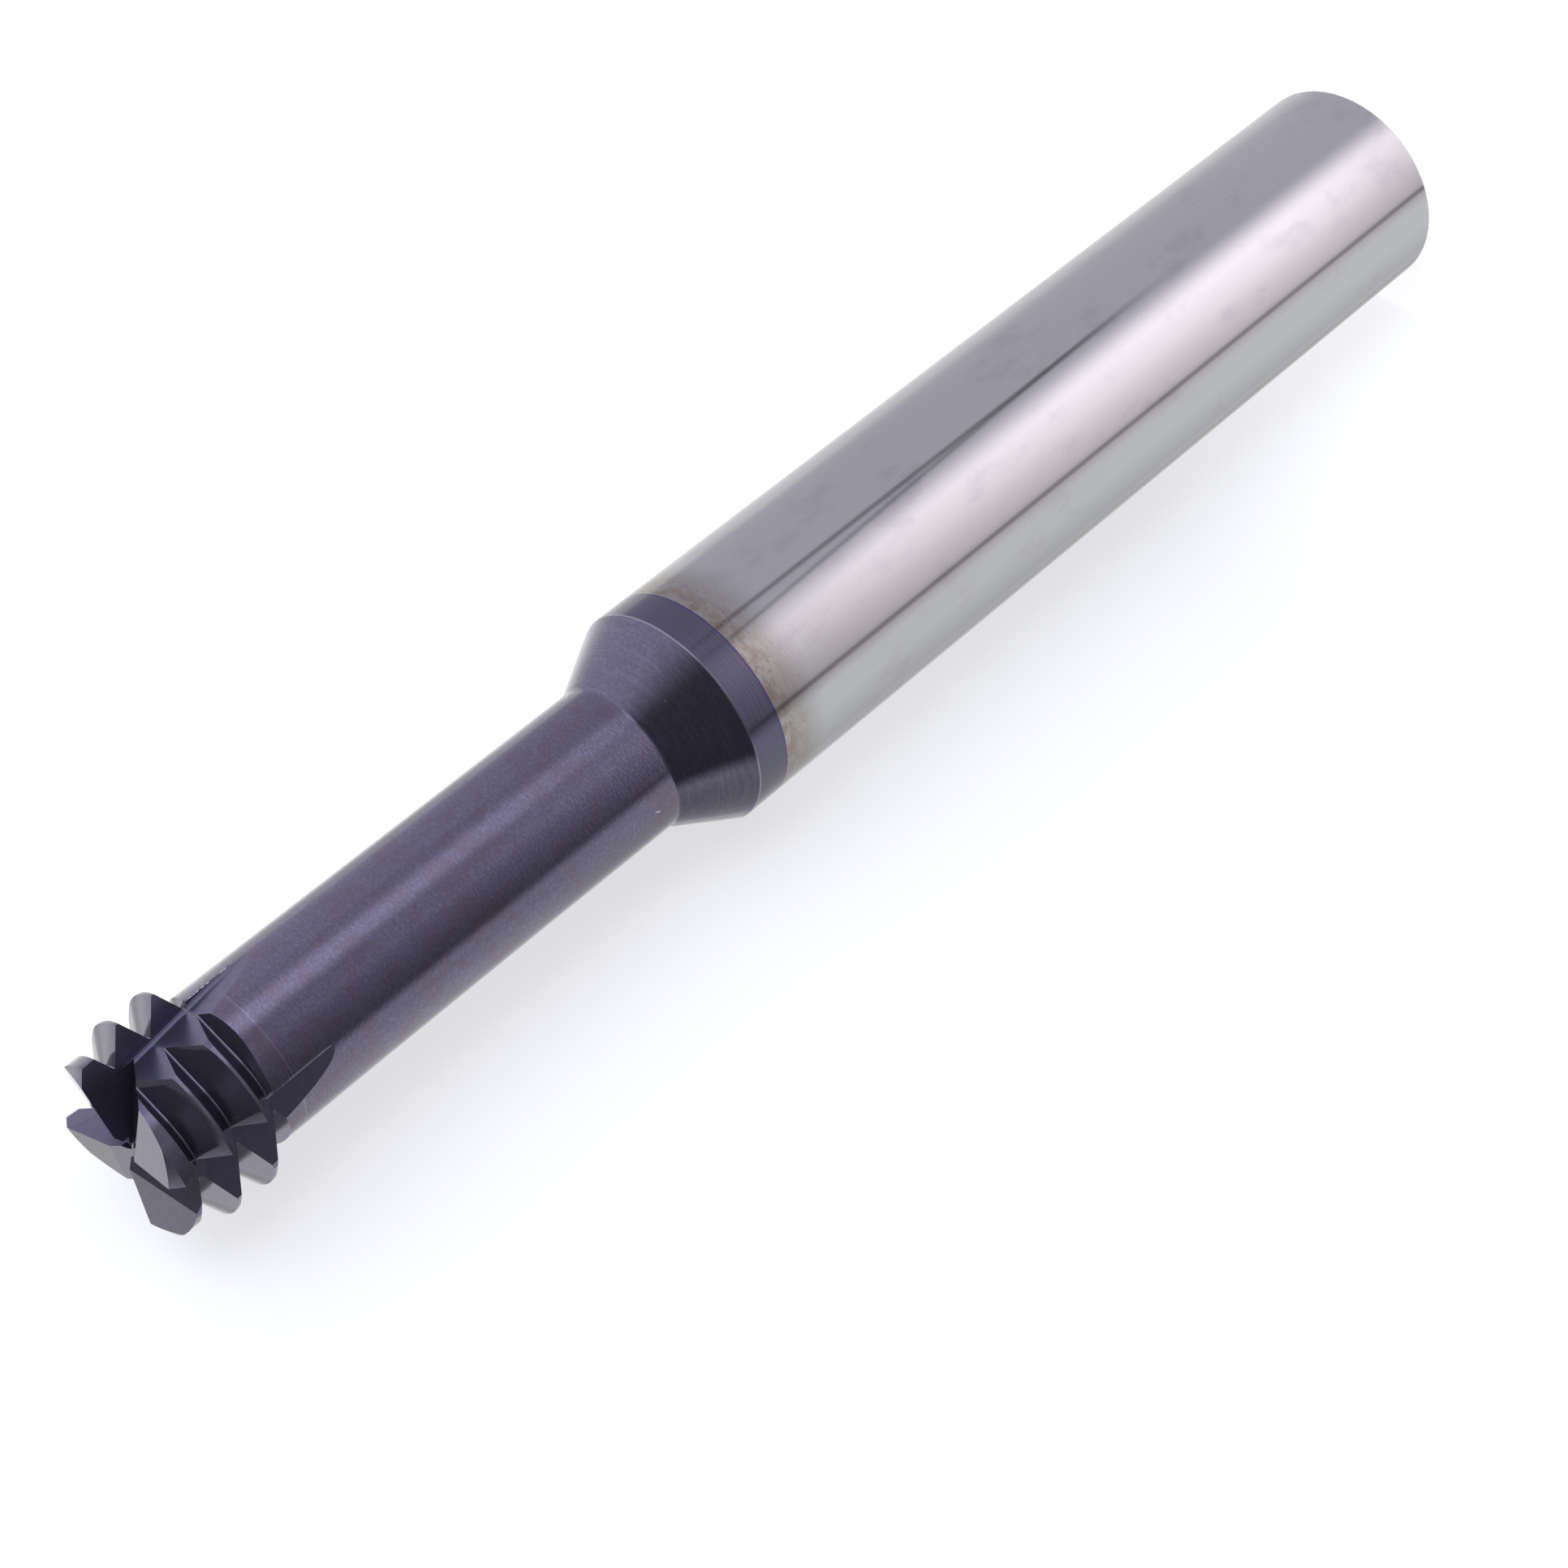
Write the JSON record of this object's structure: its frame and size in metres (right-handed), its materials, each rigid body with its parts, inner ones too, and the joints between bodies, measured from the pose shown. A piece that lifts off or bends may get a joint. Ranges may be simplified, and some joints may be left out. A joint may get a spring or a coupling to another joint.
{
  "type": "thread mill",
  "caption": "Solid carbide thread mill with a plain cylindrical shank, a tapered shoulder, a slender neck and a relieved, fluted head with teeth of 60 degree form.",
  "frame": {"origin": "centre of the flat end of the shank", "axes": "+Z along the tool's axis from the shank end to the cutting end; one cutting edge lies 248 degrees round from +X at the middle of the head"},
  "size_m": [0.01, 0.01, 0.075],
  "materials": {
    "carbide": "polished grey bare carbide on the shank, dark slate-violet hard coating from just below the shoulder to the cutting end"
  },
  "bodies": {
    "root": {"thread_mill": "carbide"}
  },
  "joints": []
}
